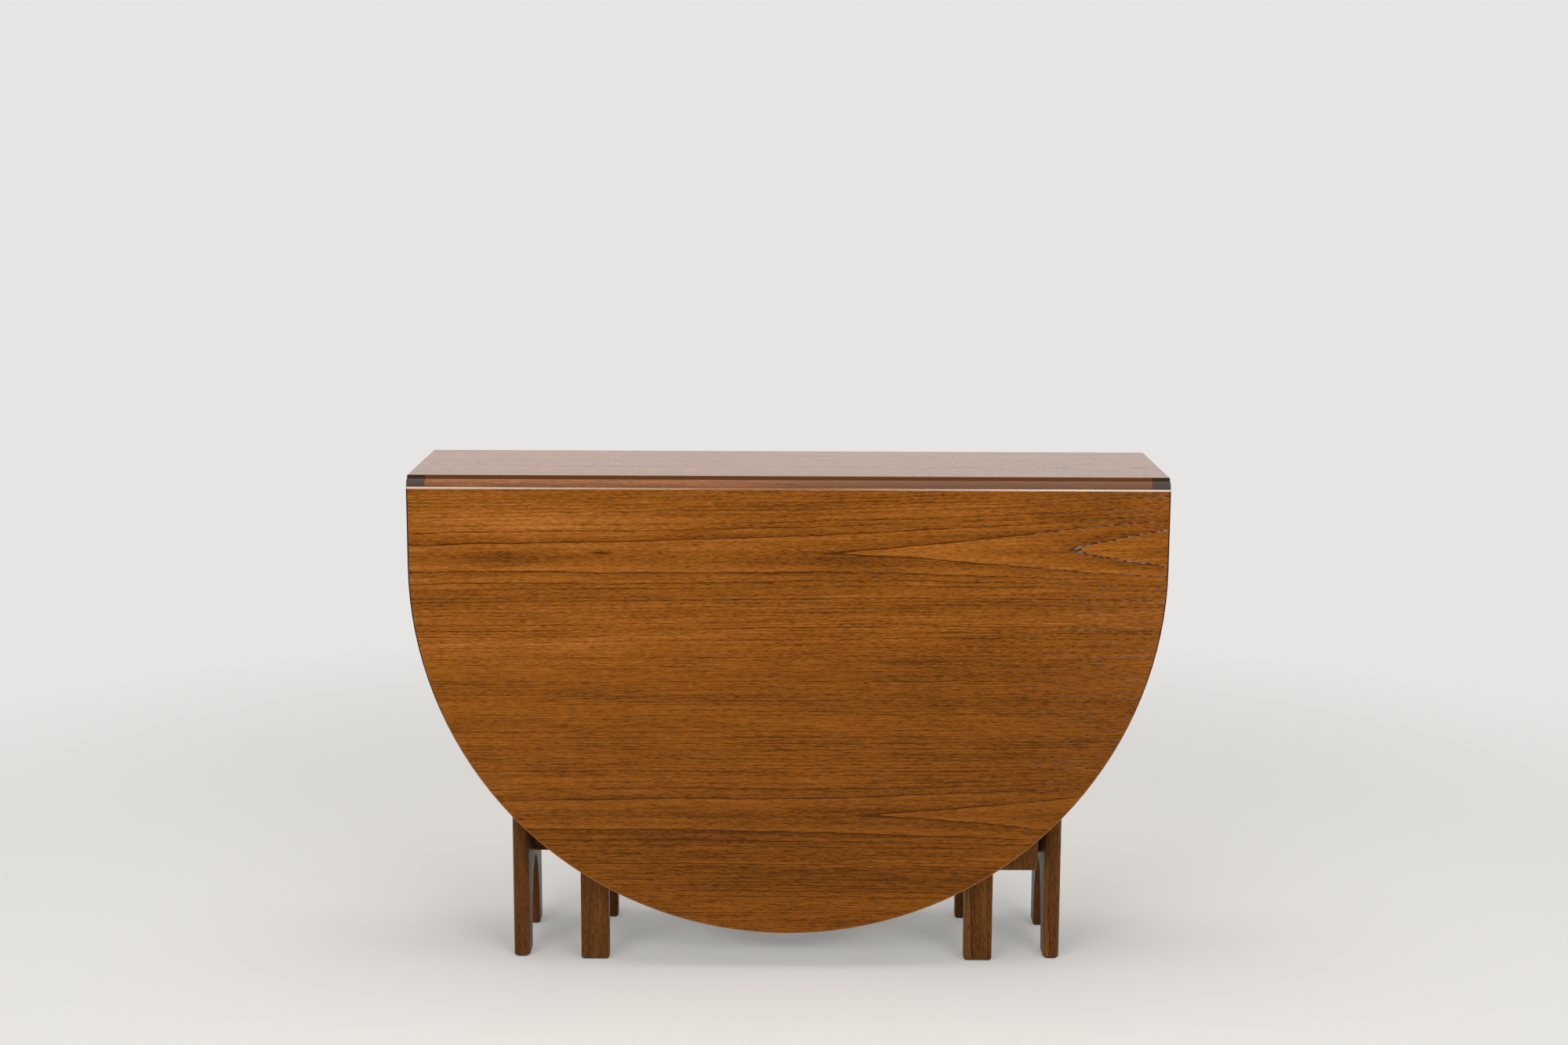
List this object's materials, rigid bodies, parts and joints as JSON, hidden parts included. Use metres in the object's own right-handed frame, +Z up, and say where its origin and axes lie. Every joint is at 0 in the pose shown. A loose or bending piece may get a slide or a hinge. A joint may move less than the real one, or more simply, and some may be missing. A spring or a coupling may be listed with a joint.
{
  "type": "drop-leaf gate-leg dining table",
  "caption": "Drop-leaf gate-leg dining table, closed: narrow moulded top, hanging round-ended leaves on rule joints, arched board end frames and hinged gates.",
  "frame": {"origin": "on the floor under the middle of the top, the table closed with both leaves hanging", "axes": "+X along the table's length towards its right end, +Y to the rear, +Z up"},
  "size_m": [1.1, 0.29, 0.74],
  "materials": {
    "teak_veneer": "figured teak veneer on the faces, satin lacquer",
    "solid_teak": "straight-grained solid teak, satin lacquer",
    "zinc_plated_steel": "plated steel hinges, slightly dulled"
  },
  "bodies": {
    "frame": {"top_panel": "teak_veneer", "left_end_lipping": "solid_teak", "right_end_lipping": "solid_teak", "lower_stretcher": "solid_teak", "upper_spine": "solid_teak", "left_front_leg_board": "solid_teak", "left_front_cleat": "solid_teak", "right_front_leg_board": "solid_teak", "right_front_cleat": "solid_teak", "front_left_top_flap": "zinc_plated_steel", "front_left_leaf_pin": "zinc_plated_steel", "front_middle_top_flap": "zinc_plated_steel", "front_middle_leaf_pin": "zinc_plated_steel", "front_right_top_flap": "zinc_plated_steel", "front_right_leaf_pin": "zinc_plated_steel", "front_lower_frame_flap": "zinc_plated_steel", "front_lower_gate_pin": "zinc_plated_steel", "front_upper_frame_flap": "zinc_plated_steel", "front_upper_gate_pin": "zinc_plated_steel", "left_rear_leg_board": "solid_teak", "left_rear_cleat": "solid_teak", "right_rear_leg_board": "solid_teak", "right_rear_cleat": "solid_teak", "rear_left_top_flap": "zinc_plated_steel", "rear_left_leaf_pin": "zinc_plated_steel", "rear_middle_top_flap": "zinc_plated_steel", "rear_middle_leaf_pin": "zinc_plated_steel", "rear_right_top_flap": "zinc_plated_steel", "rear_right_leaf_pin": "zinc_plated_steel", "rear_lower_frame_flap": "zinc_plated_steel", "rear_lower_gate_pin": "zinc_plated_steel", "rear_upper_frame_flap": "zinc_plated_steel", "rear_upper_gate_pin": "zinc_plated_steel"},
    "front_leaf": {"front_leaf": "teak_veneer", "front_leaf_stop": "solid_teak", "front_left_leaf_flap": "zinc_plated_steel", "front_middle_leaf_flap": "zinc_plated_steel", "front_right_leaf_flap": "zinc_plated_steel"},
    "front_gate": {"front_gate_far_leg": "solid_teak", "front_gate_near_leg": "solid_teak", "front_gate_stile": "solid_teak", "front_gate_top_rail": "solid_teak", "front_gate_lower_rail": "solid_teak", "front_lower_gate_flap": "zinc_plated_steel", "front_upper_gate_flap": "zinc_plated_steel"},
    "rear_leaf": {"rear_leaf": "teak_veneer", "rear_leaf_stop": "solid_teak", "rear_left_leaf_flap": "zinc_plated_steel", "rear_middle_leaf_flap": "zinc_plated_steel", "rear_right_leaf_flap": "zinc_plated_steel"},
    "rear_gate": {"rear_gate_far_leg": "solid_teak", "rear_gate_near_leg": "solid_teak", "rear_gate_stile": "solid_teak", "rear_gate_top_rail": "solid_teak", "rear_gate_lower_rail": "solid_teak", "rear_lower_gate_flap": "zinc_plated_steel", "rear_upper_gate_flap": "zinc_plated_steel"}
  },
  "joints": [
    {"name": "front_leaf_hinge", "type": "hinge", "parent": "frame", "child": "front_leaf", "pos_m": [0, -0.13, 0.725], "axis": [-1, 0, 0], "range_deg": [0, 90]},
    {"name": "rear_leaf_hinge", "type": "hinge", "parent": "frame", "child": "rear_leaf", "pos_m": [0, 0.13, 0.725], "axis": [1, 0, 0], "range_deg": [0, 90]},
    {"name": "front_gate_hinge", "type": "hinge", "parent": "frame", "child": "front_gate", "pos_m": [0.381, -0.101, 0], "axis": [0, 0, 1], "range_deg": [0, 1.5]},
    {"name": "rear_gate_hinge", "type": "hinge", "parent": "frame", "child": "rear_gate", "pos_m": [-0.381, 0.101, 0], "axis": [0, 0, 1], "range_deg": [0, 1.5]}
  ]
}
